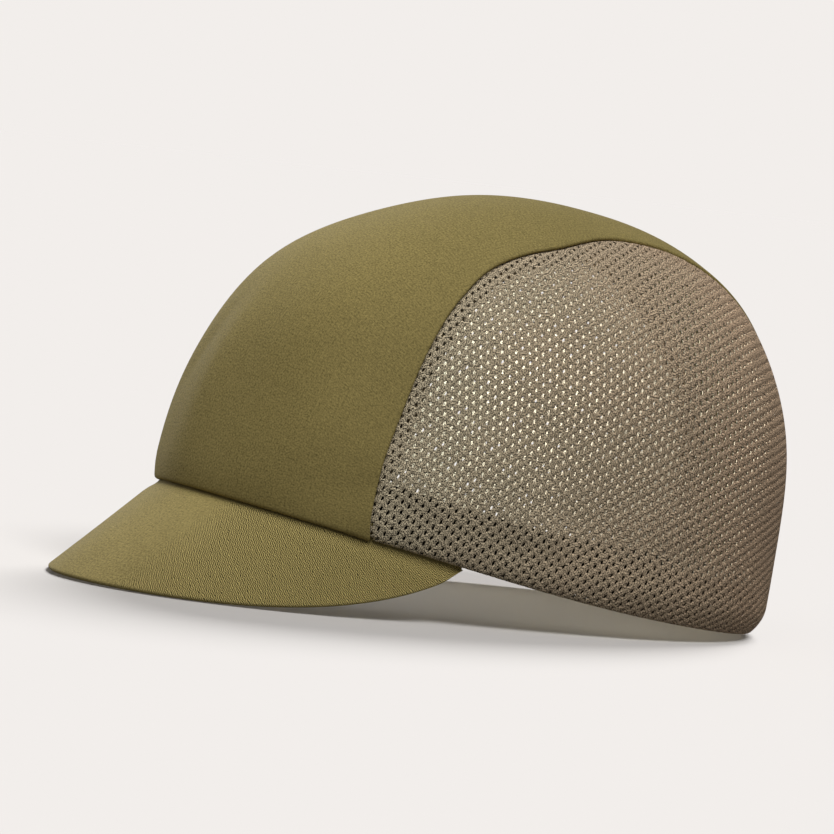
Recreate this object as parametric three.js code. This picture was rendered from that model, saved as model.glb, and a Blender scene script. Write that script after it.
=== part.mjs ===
import * as THREE from 'three';

// A cycling cap with a short peak: a cloth panel from the front hem over the top to the back hem, a
// mesh panel on each side of it, the peak below the front hem and a band inside the whole hem.
// Millimetres, +Z up, the front towards -Y and the wearer's left towards +X. The cap rests on the
// free edge of its peak and on its back hem.

const deg = Math.PI / 180;

// Crown: half its width, how far it reaches to the front and to the back of its widest line, and
// its height above the hem.
const crownHalfWidth = 78;
const crownFrontReach = 109.9;
const crownRearReach = 85.4;
const crownHeight = 114.1;
const crownWall = 1.2;

// Exponents of the crown's rounded form: 2 is an ellipse, more is squarer.
const planRoundness = 2.325;
const frontRoundness = 2.275;
const rearRoundness = 2.393;

// Hem: how much its front rises and its sides dip against its back, and how the cloth turns in.
const hemFrontRise = 2;
const hemSideDip = 4.5;
const hemTurnHeight = 10;
const hemTurnFront = 1.1;
const hemTurnRear = 4.8;

// Band inside the hem, and the turned seam edges inside each side seam.
const bandHeight = 17.5;
const bandThickness = 1;
const bandSetback = 1.5;
const seamEdgeHalfWidth = 7;
const seamEdgeThickness = 1;

// Peak: its length at the middle and at its two ends, its thickness, and how far inside the
// crown's face its root lies. Its slope is measured down from level.
const peakLength = 44.8;
const peakEndLength = 2.4;
const peakThickness = 2.2;
const peakRootInset = 0.6;
const peakHalfSpan = 54.2 * deg;
const peakSlopeMiddle = 46.95 * deg;
const peakSlopeEnd = 88 * deg;

// Powers of the share across the peak: how late it steepens, and how round its free edge is.
const peakSteepening = 2.25;
const peakFullness = 1.02;

// Play between pieces that are sewn together: along a seam, and between one layer and the next.
const seamPlay = 0.35;
const layerPlay = 0.6;

const peakColour = 0x847850;
const clothColour = 0x6d6240;
const meshColour = 0x7b6d57;
const bandColour = 0x5e5544;

// Soft bulges of the stretched cloth on the front, the sides and the back: where each lies above
// the hem plane, in degrees, and its height as a share of the crown's height.
const bulgeSpread = 13;
const bulges = [
  { side: 'front', above: 18, push: 0.011 },
  { side: 'front', above: 38, push: 0.0205 },
  { side: 'front', above: 60, push: -0.012 },
  { side: 'flank', above: 25, push: -0.005 },
  { side: 'flank', above: 55, push: 0.012 },
  { side: 'back', above: 15, push: -0.008 },
  { side: 'back', above: 38, push: 0.014 },
  { side: 'back', above: 60, push: 0.01 },
];

// Shallow dents and ridges of the unworn cloth, on both sides alike: degrees around from the front
// and above the hem plane, their half-widths, and their height as a share of the crown's height.
const dents = [
  { around: 8, above: 20, wide: 7, tall: 16, push: -0.011 },
  { around: 24, above: 24, wide: 8, tall: 20, push: 0.008 },
  { around: 55, above: 17, wide: 9, tall: 10, push: 0.009 },
  { around: 66, above: 33, wide: 9, tall: 12, push: -0.008 },
  { around: 82, above: 13, wide: 12, tall: 8, push: -0.01 },
  { around: 120, above: 26, wide: 16, tall: 14, push: 0.007 },
];

// Side seams: the angle between the seam and the cap's middle plane, in degrees, at each angle
// around from the front hem (0) over the top (90) to the back hem (180).
const seamLine = [
  { at: 0, out: 39.3 },
  { at: 25, out: 36.2 },
  { at: 40, out: 32.4 },
  { at: 52, out: 28.3 },
  { at: 61, out: 25 },
  { at: 75, out: 22.7 },
  { at: 88, out: 18.2 },
  { at: 105, out: 16 },
  { at: 140, out: 15 },
  { at: 180, out: 14 },
];

// How finely each surface is divided. Rows lie closer where the hem turns in.
const hemRows = [0, 3, 6, 9.5, 14];
const middleRows = 30;
const clothColumns = 15;
const flankStations = 26;
const flankRings = [0.2, 0.39, 0.56, 0.7, 0.81, 0.89, 0.94, 0.975, 1];
const bandStations = 88;
const bandRows = [0, 0.17, 0.36, 0.64, 1];
const peakColumns = 32;
const peakRows = 6;
const seamEdgeColumns = 2;

const { clamp, lerp } = THREE.MathUtils;
const shareList = count => Array.from({ length: count + 1 }, (_, i) => i / count);

// Smooth curve through a table's rows: a cubic between each two, whose slope at a row is that of
// the line between its neighbours.
function alongTable(rows, key, at) {
  const last = rows.length - 1;
  const next = rows.findIndex(row => row.at > at);
  const i = next < 0 ? last - 1 : Math.max(next - 1, 0);
  const slope = k => {
    const before = rows[Math.max(k - 1, 0)];
    const after = rows[Math.min(k + 1, last)];
    return (after[key] - before[key]) / (after.at - before.at);
  };
  const step = rows[i + 1].at - rows[i].at;
  const s = (at - rows[i].at) / step;
  const rise = rows[i + 1][key] - rows[i][key];
  const start = slope(i) * step;
  const end = slope(i + 1) * step;
  return rows[i][key] + s * (start + s * (3 * rise - 2 * start - end + s * (start + end - 2 * rise)));
}

// Unit direction from the dome's centre: by angle around from the front and above the hem plane.
function directionAround(around, above) {
  const level = Math.cos(above);
  return new THREE.Vector3(Math.sin(around) * level, -Math.cos(around) * level, Math.sin(above));
}

// Unit direction by angle from the front over the top, and angle out of the middle plane.
function directionOver(over, out) {
  const inPlane = Math.cos(out);
  return new THREE.Vector3(Math.sin(out), -Math.cos(over) * inPlane, Math.sin(over) * inPlane);
}

const aroundOf = direction => Math.atan2(direction.x, -direction.y);
const hill = (distance, width) => Math.exp(-((distance / width) ** 2));

// Height of the hem above the cap's base plane at an angle around from the front.
function hemHeight(around) {
  const frontShare = (Math.cos(around) + 1) / 2;
  const sideShare = (1 - Math.cos(2 * around)) / 2;
  return hemFrontRise * frontShare - hemSideDip * sideShare;
}

// Crown's outer surface along a direction: a rounded form with one exponent in plan and one
// upright, with its bulges and dents, turned in towards the hem.
function crownPoint(direction) {
  const around = aroundOf(direction);
  const above = Math.asin(clamp(direction.z, -1, 1)) / deg;
  const toRear = (1 - Math.cos(around)) / 2;
  const upright = lerp(frontRoundness, rearRoundness, toRear);
  const reach = direction.y < 0 ? crownFrontReach : crownRearReach;
  const level = (Math.abs(direction.x) / crownHalfWidth) ** planRoundness
    + (Math.abs(direction.y) / reach) ** planRoundness;
  const tall = (Math.abs(direction.z) / crownHeight) ** upright;
  let radius = (level ** (upright / planRoundness) + tall) ** (-1 / upright);

  const facing = {
    front: Math.max(Math.cos(around), 0) ** 1.5,
    back: Math.max(-Math.cos(around), 0) ** 1.5,
    flank: Math.sin(around) ** 2,
  };
  for (const { side, above: centre, push } of bulges) {
    radius += push * crownHeight * facing[side] * hill(above - centre, bulgeSpread);
  }
  for (const dent of dents) {
    const aside = hill(Math.abs(around) / deg - dent.around, dent.wide);
    radius += dent.push * crownHeight * aside * hill(above - dent.above, dent.tall);
  }

  const point = direction.clone().multiplyScalar(radius);
  const height = point.z - hemHeight(around);
  const turn = clamp(1 - height / hemTurnHeight, 0, 1.2) ** 2;
  const turnDepth = lerp(hemTurnFront, hemTurnRear, toRear) * turn;
  point.x -= direction.x * turnDepth;
  point.y -= direction.y * turnDepth;
  return point;
}

// Direction at which the crown's surface stands at a height above the hem. The turn is the angle
// that is changed to reach it, and the maker gives the direction for a value of that angle.
function directionAtHeight(height, start, turn, maker) {
  let angle = start;
  for (let pass = 0; pass < 6; pass += 1) {
    const point = crownPoint(maker(angle));
    angle += turn * (height + hemHeight(aroundOf(point)) - point.z) / crownFrontReach;
  }
  return maker(angle);
}

const hemDirection = (around, height) => directionAtHeight(height, height / crownFrontReach, 1,
  above => directionAround(around, above));
const hemPoint = around => crownPoint(hemDirection(around, 0));

// Angle over the top at which a line at a fixed angle out meets a height above the hem.
function overAtHeight(out, height, fromRear) {
  const turn = fromRear ? -1 : 1;
  const start = fromRear ? Math.PI : 0;
  const direction = directionAtHeight(height, start, turn, over => directionOver(over, out));
  const over = Math.atan2(direction.z, -direction.y);
  return over < -Math.PI / 2 ? over + 2 * Math.PI : over;
}

const seamOut = over => alongTable(seamLine, 'out', over / deg) * deg;

// Peak: a sheet of straight lines that run forward and down from a root below the hem, steeper
// towards its ends, with a free edge that swings back to the root at both ends.
function peakLine(across) {
  const around = across * peakHalfSpan;
  const slope = lerp(peakSlopeMiddle, peakSlopeEnd, Math.abs(across) ** peakSteepening);
  const run = new THREE.Vector3(0, -Math.cos(slope), -Math.sin(slope));
  const root = hemPoint(around);
  const beside = hemPoint(around + deg).sub(hemPoint(around - deg)).normalize();
  const up = new THREE.Vector3().crossVectors(run, beside).normalize();
  const inward = new THREE.Vector3(beside.y, -beside.x, 0).normalize().negate();
  root.addScaledVector(inward, peakRootInset);
  root.z -= seamPlay;
  const fullness = Math.max(1 - across ** 2, 0) ** peakFullness;
  const length = lerp(peakEndLength, peakLength, fullness);
  return { root, run, up, length };
}

function peakPoint(line, along, depth) {
  return line.root.clone()
    .addScaledVector(line.run, along * line.length)
    .addScaledVector(line.up, -depth);
}

// Pitch at rest: the free edge of the peak and the back hem are level on the surface below.
function restPitch() {
  const edge = shareList(peakColumns).map(s => peakPoint(peakLine(2 * s - 1), 1, peakThickness));
  const hem = shareList(flankStations).map(s => hemPoint((0.5 + s) * Math.PI));
  const lowest = (points, up) => points.reduce((a, b) => (b.dot(up) < a.dot(up) ? b : a));
  let pitch = 0;
  for (let pass = 0; pass < 6; pass += 1) {
    const up = new THREE.Vector3(0, -Math.sin(pitch), Math.cos(pitch));
    const front = lowest(edge, up);
    const back = lowest(hem, up);
    pitch = Math.atan2(back.z - front.z, back.y - front.y);
  }
  return pitch;
}

const pitch = restPitch();
const upAtRest = new THREE.Vector3(0, -Math.sin(pitch), Math.cos(pitch));

// Point at a depth below the crown's outer surface. The wall is as thick as its depth says, and at
// the hem it is cut level with the surface that the cap rests on.
function layerPoint(direction, depth) {
  const point = crownPoint(direction);
  const step = 0.004;
  const aside = new THREE.Vector3(direction.y, -direction.x, 0);
  if (aside.lengthSq() < step) aside.set(1, 0, 0);
  aside.normalize();
  const over = new THREE.Vector3().crossVectors(direction, aside);
  const tangents = [aside, over].map(tangent => {
    const there = crownPoint(direction.clone().addScaledVector(tangent, step).normalize());
    const back = crownPoint(direction.clone().addScaledVector(tangent, -step).normalize());
    return there.sub(back);
  });
  const normal = new THREE.Vector3().crossVectors(tangents[0], tangents[1]).normalize();
  if (normal.dot(direction) < 0) normal.negate();
  const level = normal.clone().addScaledVector(upAtRest, -normal.dot(upAtRest)).normalize();
  const height = point.z - hemHeight(aroundOf(direction));
  const share = clamp(1 - height / hemTurnHeight, 0, 1);
  const cut = normal.clone().lerp(level, share).normalize();
  return point.addScaledVector(cut, -depth / Math.max(normal.dot(cut), 0.7));
}

const layer = (direction, depth, thickness) => ({
  outer: layerPoint(direction, depth),
  inner: layerPoint(direction, depth + thickness),
});

// Closed solid between the outer and inner points of a grid. Its columns meet where it wraps
// round, and a hub closes its first row at one point.
function shellGeometry(grid, wraps, hub) {
  const rows = grid.length;
  const columns = grid[0].length;
  const points = grid.flat().flatMap(cell => [cell.outer, cell.inner]);
  const id = (row, column, side) => (row * columns + column % columns) * 2 + side;
  const faces = [];
  const quad = (a, b, c, d) => faces.push(a, b, c, a, c, d);
  const lastColumn = wraps ? columns : columns - 1;
  for (let i = 0; i < rows - 1; i += 1) {
    for (let j = 0; j < lastColumn; j += 1) {
      quad(id(i, j, 0), id(i, j + 1, 0), id(i + 1, j + 1, 0), id(i + 1, j, 0));
      quad(id(i, j, 1), id(i + 1, j, 1), id(i + 1, j + 1, 1), id(i, j + 1, 1));
    }
    if (!wraps) {
      const m = columns - 1;
      quad(id(i, 0, 0), id(i + 1, 0, 0), id(i + 1, 0, 1), id(i, 0, 1));
      quad(id(i + 1, m, 0), id(i, m, 0), id(i, m, 1), id(i + 1, m, 1));
    }
  }
  const n = rows - 1;
  const hubId = points.length;
  if (hub) points.push(hub.outer, hub.inner);
  for (let j = 0; j < lastColumn; j += 1) {
    quad(id(n, j, 0), id(n, j + 1, 0), id(n, j + 1, 1), id(n, j, 1));
    if (hub) {
      faces.push(hubId, id(0, j + 1, 0), id(0, j, 0));
      faces.push(hubId + 1, id(0, j, 1), id(0, j + 1, 1));
    } else {
      quad(id(0, j + 1, 0), id(0, j, 0), id(0, j, 1), id(0, j + 1, 1));
    }
  }

  let volume = 0;
  for (let k = 0; k < faces.length; k += 3) {
    const [a, b, c] = [points[faces[k]], points[faces[k + 1]], points[faces[k + 2]]];
    volume += new THREE.Vector3().crossVectors(a, b).dot(c);
  }
  if (volume < 0) faces.reverse();
  const geometry = new THREE.BufferGeometry().setFromPoints(points);
  geometry.setIndex(faces);
  geometry.computeVertexNormals();
  return geometry;
}

// Rows of the cloth panel and of the side seams, from one end of a line to the other: close
// together near both hems, evenly spaced between.
function rowsOver(from, to) {
  const near = hemRows.map(distance => distance / crownFrontReach);
  const first = from + near[near.length - 1];
  const last = to - near[near.length - 1];
  const middle = shareList(middleRows).slice(1, -1).map(s => first + (last - first) * s);
  return [...near.map(a => from + a), ...middle, ...near.map(a => to - a).reverse()];
}

// The line of rows along a seam, moved out of it by a distance along the surface.
function seamRows(moved) {
  const turn = moved / crownRearReach;
  const front = seamOut(0) + turn;
  const rear = seamOut(Math.PI) + turn;
  const rows = rowsOver(overAtHeight(front, 0, false), overAtHeight(rear, 0, true));
  return rows.map(over => ({ over, out: seamOut(clamp(over, 0, Math.PI)) + turn }));
}

function clothPanel() {
  const count = seamRows(0).length;
  const columns = shareList(clothColumns).map(s => {
    const share = 2 * s - 1;
    const from = overAtHeight(share * seamOut(0), 0, false);
    const to = overAtHeight(share * seamOut(Math.PI), 0, true);
    return rowsOver(from, to).map(over =>
      directionOver(over, share * seamOut(clamp(over, 0, Math.PI))));
  });
  const grid = Array.from({ length: count }, (_, i) =>
    columns.map(column => layer(column[i], 0, crownWall)));
  return shellGeometry(grid, false, null);
}

// A side panel is built in rings from its middle out to its edge: up the front of the seam, over
// the top and down the back, then forward along the hem.
function flankPanel(side) {
  const seam = seamRows(seamPlay).map(({ over, out }) => directionOver(over, out));
  const front = aroundOf(seam[0]);
  const rear = aroundOf(seam[seam.length - 1]);
  const hem = shareList(flankStations).slice(1, -1)
    .map(s => hemDirection(rear + (front - rear) * s, 0));
  const middle = directionAround((front + rear) / 2, 35 * deg);
  const mirror = direction => direction.clone().setX(direction.x * side);
  const between = (direction, share) => {
    const angle = middle.angleTo(direction);
    const point = middle.clone().multiplyScalar(Math.sin((1 - share) * angle));
    return point.addScaledVector(direction, Math.sin(share * angle)).normalize();
  };
  const grid = flankRings.map(share =>
    [...seam, ...hem].map(direction => layer(mirror(between(direction, share)), 0, crownWall)));
  return shellGeometry(grid, true, layer(mirror(middle), 0, crownWall));
}

function hemBand() {
  const stations = shareList(bandStations).slice(0, -1);
  const grid = bandRows.map(share => stations.map(s => {
    const height = lerp(bandSetback, bandHeight, share);
    const direction = hemDirection((2 * s - 1) * Math.PI, height);
    return layer(direction, crownWall + layerPlay, bandThickness);
  }));
  return shellGeometry(grid, true, null);
}

// The turned edges of a side seam: a strip on both sides of the seam, inside the walls, from the
// band at the front to the band at the back.
function seamEdges(side) {
  const foot = bandHeight + layerPlay;
  const count = middleRows;
  const columns = shareList(seamEdgeColumns).map(s => {
    const turn = (2 * s - 1) * seamEdgeHalfWidth / crownFrontReach;
    const from = overAtHeight(seamOut(0) + turn, foot, false);
    const to = overAtHeight(seamOut(Math.PI) + turn, foot, true);
    return shareList(count).map(share => {
      const over = lerp(from, to, share);
      return directionOver(over, side * (seamOut(over) + turn));
    });
  });
  const grid = shareList(count).map((_, i) =>
    columns.map(column => layer(column[i], crownWall + layerPlay, seamEdgeThickness)));
  return shellGeometry(grid, false, null);
}

function peakGeometry() {
  const grid = shareList(peakRows).map(along => shareList(peakColumns).map(s => {
    const line = peakLine(2 * s - 1);
    return { outer: peakPoint(line, along, 0), inner: peakPoint(line, along, peakThickness) };
  }));
  return shellGeometry(grid, false, null);
}

function piece(name, geometry, color, roughness) {
  const material = new THREE.MeshStandardMaterial({ color, roughness, metalness: 0 });
  const mesh = new THREE.Mesh(geometry, material);
  mesh.name = name;
  return mesh;
}

const cap = new THREE.Group();
cap.add(
  piece('crown_panel', clothPanel(), clothColour, 0.8),
  piece('side_panel_left', flankPanel(1), meshColour, 0.85),
  piece('side_panel_right', flankPanel(-1), meshColour, 0.85),
  piece('peak', peakGeometry(), peakColour, 0.8),
  piece('hem_band', hemBand(), bandColour, 0.9),
  piece('seam_edges_left', seamEdges(1), meshColour, 0.9),
  piece('seam_edges_right', seamEdges(-1), meshColour, 0.9),
);

// Stood on its peak and back hem, with the origin below its middle.
cap.rotation.x = -pitch;
cap.updateMatrixWorld(true);
const box = new THREE.Box3().setFromObject(cap, true);
const middle = box.getCenter(new THREE.Vector3());
cap.position.set(-middle.x, -middle.y, -box.min.z);

const part = new THREE.Group();
part.add(cap);
export default part;
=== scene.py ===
# A cycling cap that stands by itself on its peak and its back hem: an olive cloth panel from the front
# hem over the top to the back hem, a pierced mesh panel on each side, a short olive peak, a band
# inside the hem and the turned edges inside each seam. Metres, the wearer's left towards +X.

import bpy
import numpy as np
from mathutils import Matrix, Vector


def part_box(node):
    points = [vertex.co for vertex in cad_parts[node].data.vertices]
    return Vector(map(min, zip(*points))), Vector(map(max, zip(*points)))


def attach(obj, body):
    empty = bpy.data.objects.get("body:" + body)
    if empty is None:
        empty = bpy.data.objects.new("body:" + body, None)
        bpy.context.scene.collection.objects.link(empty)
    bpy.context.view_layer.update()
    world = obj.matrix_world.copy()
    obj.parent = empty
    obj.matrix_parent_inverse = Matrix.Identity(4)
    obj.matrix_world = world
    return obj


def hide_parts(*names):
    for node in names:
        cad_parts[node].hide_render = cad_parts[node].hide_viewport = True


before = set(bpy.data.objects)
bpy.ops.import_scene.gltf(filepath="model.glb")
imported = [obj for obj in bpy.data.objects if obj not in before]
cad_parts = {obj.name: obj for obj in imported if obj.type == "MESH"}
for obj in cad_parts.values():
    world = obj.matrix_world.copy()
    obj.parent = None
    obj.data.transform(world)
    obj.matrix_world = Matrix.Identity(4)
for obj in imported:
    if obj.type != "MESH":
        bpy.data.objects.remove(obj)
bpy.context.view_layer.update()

# Cloth panel. One piece of thin olive plain weave, cut wide at the forehead and narrow at the nape.
# Its two long edges are turned under and sewn over the mesh, so they stand a little proud of it. Its
# front and back edges are turned up inside as the hem.

mm = 0.001
deg = np.pi / 180

crown_half_width = 78 * mm
crown_front_reach = 109.9 * mm
crown_rear_reach = 85.4 * mm
crown_height = 114.1 * mm
plan_roundness = 2.325
front_roundness = 2.275
rear_roundness = 2.393
hem_front_rise = 2 * mm
hem_side_dip = 4.5 * mm
hem_turn_height = 10 * mm
hem_turn_front = 1.1 * mm
hem_turn_rear = 4.8 * mm
hem_turn_limit = 1.2
rest_pitch = 8.557 * deg

# Soft bulges: side, degrees above the hem plane, push as a share of the crown's height.
bulge_spread = 13
bulge_facing = 1.5
bulges = [
    ("front", 18, 0.011), ("front", 38, 0.0205), ("front", 60, -0.012),
    ("flank", 25, -0.005), ("flank", 55, 0.012),
    ("back", 15, -0.008), ("back", 38, 0.014), ("back", 60, 0.010),
]
# Dents and ridges of the unworn cloth: degrees around from the front and above the hem plane, their
# half-widths, and push as a share of the crown's height.
dents = [
    (8, 20, 7, 16, -0.011), (24, 24, 8, 20, 0.008), (55, 17, 9, 10, 0.009),
    (66, 33, 9, 12, -0.008), (82, 13, 12, 8, -0.010), (120, 26, 16, 14, 0.007),
    (92, 44, 42, 13, 0.015),
]
# Creases and puckers where the cloth is drawn in at its seams: degrees around and above of the middle,
# lean of the long way, half-lengths the long way and across, and push as a share of the crown's height.
# The first ones are on the forehead alone, to one side. The rest are the same left and right.
forehead_creases = [
    (-1, 13, 80, 15, 7, 0.012), (19, 16, 80, 16, 7, -0.010), (16, 30, 20, 20, 9, 0.015),
    (-12, 21, 65, 9, 3, -0.006),
]
seam_puckers = [
    (33, 6, 20, 9, 4, -0.006), (27, 15, 60, 10, 5, 0.004),
    (48, 10, -20, 11, 3, 0.006), (44, 21, 75, 8, 2.5, -0.005), (50, 33, 80, 6, 2, -0.004),
    (67, 5, -3, 12, 2.5, -0.005), (69, 11, -5, 14, 3.5, 0.005), (103, 12, 10, 14, 4, -0.004),
    (54, 46, -30, 12, 3.5, -0.006), (60, 53, -30, 12, 4, 0.005),
]
# Side seam: degrees from the front hem over the top, and degrees out of the middle plane.
seam_line = np.array([
    (0, 39.3), (25, 36.2), (40, 32.4), (52, 28.3), (61, 25), (75, 22.7),
    (88, 18.2), (105, 16), (140, 15), (180, 14),
])

cloth_thickness = 0.5 * mm
hem_fold_radius = 0.9 * mm
hem_fold_depth = 8 * mm
seam_roll_radius = 0.4 * mm
seam_turned_width = 6 * mm
seam_stand = 0.35 * mm
seam_stand_width = 4.5 * mm
least_fold_radius = 0.1 * mm
panel_middle_rows = 150
panel_columns = 61


def unit(v):
    """Vectors of length one."""
    return v / np.linalg.norm(v, axis=-1, keepdims=True)


def blend_in(x):
    """0 below 0, 1 above 1, and a smooth S between: three squares less two cubes."""
    x = np.clip(x, 0, 1)
    return x * x * (3 - 2 * x)


def direction_around(around, above):
    """Unit direction by angle around from the front, and above the hem plane."""
    return np.stack([np.sin(around) * np.cos(above), -np.cos(around) * np.cos(above), np.sin(above)], -1)


def direction_over(over, out):
    """Unit direction by angle from the front over the top, and angle out of the middle plane."""
    return np.stack([np.sin(out), -np.cos(over) * np.cos(out), np.sin(over) * np.cos(out)], -1)


def seam_out(over):
    """Angle of the seam out of the middle plane: a cubic between each two rows of its table, with the
    slope at a row that of the line between its neighbours."""
    at, out = seam_line[:, 0], seam_line[:, 1]
    last = len(at) - 1
    before = np.maximum(np.arange(last + 1) - 1, 0)
    after = np.minimum(np.arange(last + 1) + 1, last)
    slope = (out[after] - out[before]) / (at[after] - at[before])
    place = np.clip(np.asarray(over) / deg, 0, 180)
    i = np.clip(np.searchsorted(at, place, side="right") - 1, 0, last - 1)
    step = at[i + 1] - at[i]
    s = (place - at[i]) / step
    rise = out[i + 1] - out[i]
    start, end = slope[i] * step, slope[i + 1] * step
    return deg * (out[i] + s * (start + s * (3 * rise - 2 * start - end + s * (start + end - 2 * rise))))


def hem_height(around):
    """Height of the hem above the base plane: raised at the front, dipped at the sides."""
    return hem_front_rise * (np.cos(around) + 1) / 2 - hem_side_dip * (1 - np.cos(2 * around)) / 2


def crown_point(direction):
    """Crown's outer surface along a direction. It is a rounded form: the powers of the shares of the
    width and reach are added in plan, the power of the share of the height is added to that, and the
    radius is the root of the sum. Bulges, dents, creases and puckers are bell curves added to the
    radius. Near the hem the surface is turned in by a square of the height that is missing."""
    x, y, z = np.moveaxis(direction, -1, 0)
    around = np.arctan2(x, -y)
    above = np.arcsin(np.clip(z, -1, 1)) / deg
    to_rear = (1 - np.cos(around)) / 2
    upright = front_roundness + (rear_roundness - front_roundness) * to_rear
    reach = np.where(y < 0, crown_front_reach, crown_rear_reach)
    level = (np.abs(x) / crown_half_width) ** plan_roundness + (np.abs(y) / reach) ** plan_roundness
    radius = (level ** (upright / plan_roundness) + (np.abs(z) / crown_height) ** upright) ** (-1 / upright)
    facing = {
        "front": np.maximum(np.cos(around), 0) ** bulge_facing,
        "back": np.maximum(-np.cos(around), 0) ** bulge_facing,
        "flank": np.sin(around) ** 2,
    }
    for side, centre, push in bulges:
        bell = ((above - centre) / bulge_spread) ** 2
        radius = radius + push * crown_height * facing[side] * np.exp(-bell)
    for aside, centre, wide, tall, push in dents:
        bell = ((np.abs(around) / deg - aside) / wide) ** 2 + ((above - centre) / tall) ** 2
        radius = radius + push * crown_height * np.exp(-bell)
    for folds, place in ((forehead_creases, around / deg), (seam_puckers, np.abs(around) / deg)):
        for aside, centre, lean, long, wide, push in folds:
            c, s = np.cos(lean * deg), np.sin(lean * deg)
            bell = ((c * (place - aside) + s * (above - centre)) / long) ** 2
            bell = bell + ((c * (above - centre) - s * (place - aside)) / wide) ** 2
            radius = radius + push * crown_height * np.exp(-bell)
    point = direction * radius[..., None]
    turn = np.clip(1 - (point[..., 2] - hem_height(around)) / hem_turn_height, 0, hem_turn_limit) ** 2
    depth = (hem_turn_front + (hem_turn_rear - hem_turn_front) * to_rear) * turn
    return point - direction * np.stack([depth, depth, 0 * depth], -1)


def crown_frame(direction):
    """Point of the crown and its outward normal, the cross product of two short steps along it."""
    step = 0.004
    aside = np.stack([direction[..., 1], -direction[..., 0], 0 * direction[..., 0]], -1)
    at_top = np.linalg.norm(aside, axis=-1, keepdims=True) < step
    aside = unit(np.where(at_top, np.array([1.0, 0, 0]), aside))
    over = np.cross(direction, aside)
    along = [crown_point(unit(direction + step * t)) - crown_point(unit(direction - step * t))
             for t in (aside, over)]
    normal = unit(np.cross(*along))
    outward = np.sign(np.sum(normal * direction, -1, keepdims=True))
    return crown_point(direction), normal * outward


def hem_direction(around, height):
    """Direction at which the crown stands at a height above the hem, found in a few steps."""
    above = height / crown_front_reach + 0 * around
    for _ in range(7):
        z = crown_point(direction_around(around, above))[..., 2]
        above = above + (height + hem_height(around) - z) / crown_front_reach
    return direction_around(around, above)


def over_at_height(out, height, from_rear):
    """Angle over the top at which a line at a fixed angle out meets a height above the hem."""
    over = np.full(np.shape(out), np.pi if from_rear else 0.0)
    turn = -1 if from_rear else 1
    for _ in range(8):
        point = crown_point(direction_over(over, out))
        around = np.arctan2(point[..., 0], -point[..., 1])
        over = over + turn * (height + hem_height(around) - point[..., 2]) / crown_front_reach
    return over


def sewn_sheet(direction, lift, fold_radius):
    """Middle surface of a sewn sheet. Above the hem it lies on the crown, raised along the normal by
    its lift. What would pass the hem turns round a half circle and then runs up inside."""
    point, normal = crown_frame(direction)
    flat = point + normal * lift[..., None]
    around = np.arctan2(direction[..., 0], -direction[..., 1])
    start = fold_radius + cloth_thickness / 2
    past = start - (point[..., 2] - hem_height(around))
    base, out = crown_frame(hem_direction(around, start))
    down = unit(out * out[..., 2:] - np.array([0, 0, 1.0]))
    angle = np.clip(past / fold_radius, 0, np.pi)
    up_inside = np.maximum(past - np.pi * fold_radius, 0)
    radius = np.maximum(fold_radius + lift + cloth_thickness / 2, least_fold_radius)
    centre = base - out * (fold_radius + cloth_thickness / 2)
    round_hem = (centre + out * (radius * np.cos(angle))[..., None]
                 + down * (radius * np.sin(angle) - up_inside)[..., None])
    return np.where(past[..., None] > 0, round_hem, flat)


def at_rest(points):
    """Cap's own frame turned back to its rest on the floor, then moved to where the frame has it."""
    c, s = np.cos(rest_pitch), np.sin(rest_pitch)
    x, y, z = np.moveaxis(points, -1, 0)
    return np.stack([x, y * c + z * s, z * c - y * s], -1) + rest_place


# The cap is moved so that the highest and the rearmost point of its middle line are where the frame's
# cloth panel has them.
rest_place = np.zeros(3)
crest_over = np.linspace(0.3, np.pi - 0.01, 800)
crest = at_rest(crown_point(direction_over(crest_over, 0 * crest_over)))
panel_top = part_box("crown_panel")[1]
rest_place = np.array([0, panel_top.y - crest[:, 1].max(), panel_top.z - crest[:, 2].max()])


def grid_quads(rows, columns, wraps=False):
    """Corner numbers of the quads of a grid of points, and of the last column to the first if it wraps."""
    i, j = np.meshgrid(np.arange(rows - 1), np.arange(columns if wraps else columns - 1), indexing="ij")
    after = (j + 1) % columns
    return np.stack([i * columns + j, i * columns + after,
                     (i + 1) * columns + after, (i + 1) * columns + j], -1).reshape(-1, 4)


def surface_cm(points):
    """Places on the cloth in centimetres: distance along each row and each column of the grid, both
    from the middle one."""
    across = np.linalg.norm(np.diff(points, axis=1), axis=-1)
    along = np.linalg.norm(np.diff(points, axis=0), axis=-1)
    u = np.concatenate([0 * across[:, :1], np.cumsum(across, 1)], 1)
    v = np.concatenate([0 * along[:1], np.cumsum(along, 0)], 0)
    u = u - u[:, points.shape[1] // 2][:, None]
    v = np.repeat((v - v[points.shape[0] // 2])[:, points.shape[1] // 2][:, None], points.shape[1], 1)
    return np.stack([u, v], -1) * 100


def new_piece(name, points, faces, places_cm, material, slot, *nodes):
    """Mesh from arrays of points and quads, with its cloth places as a UV map, smooth shaded. It rides
    on the cap's one body and stands for the CAD nodes that are named."""
    mesh = bpy.data.meshes.new(name)
    mesh.vertices.add(len(points))
    mesh.vertices.foreach_set("co", points.astype(np.float32).ravel())
    mesh.loops.add(faces.size)
    mesh.loops.foreach_set("vertex_index", faces.astype(np.int32).ravel())
    mesh.polygons.add(len(faces))
    mesh.polygons.foreach_set("loop_start", np.arange(0, faces.size, 4, dtype=np.int32))
    mesh.update(calc_edges=True)
    mesh.polygons.foreach_set("use_smooth", np.ones(len(faces), bool))
    uv = mesh.uv_layers.new(name="cloth_cm")
    uv.data.foreach_set("uv", places_cm[faces.ravel()].astype(np.float32).ravel())
    mesh.materials.append(material)
    piece = bpy.data.objects.new(name, mesh)
    bpy.context.scene.collection.objects.link(piece)
    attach(piece, "root")
    if nodes:
        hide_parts(*nodes)
    return piece


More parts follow.
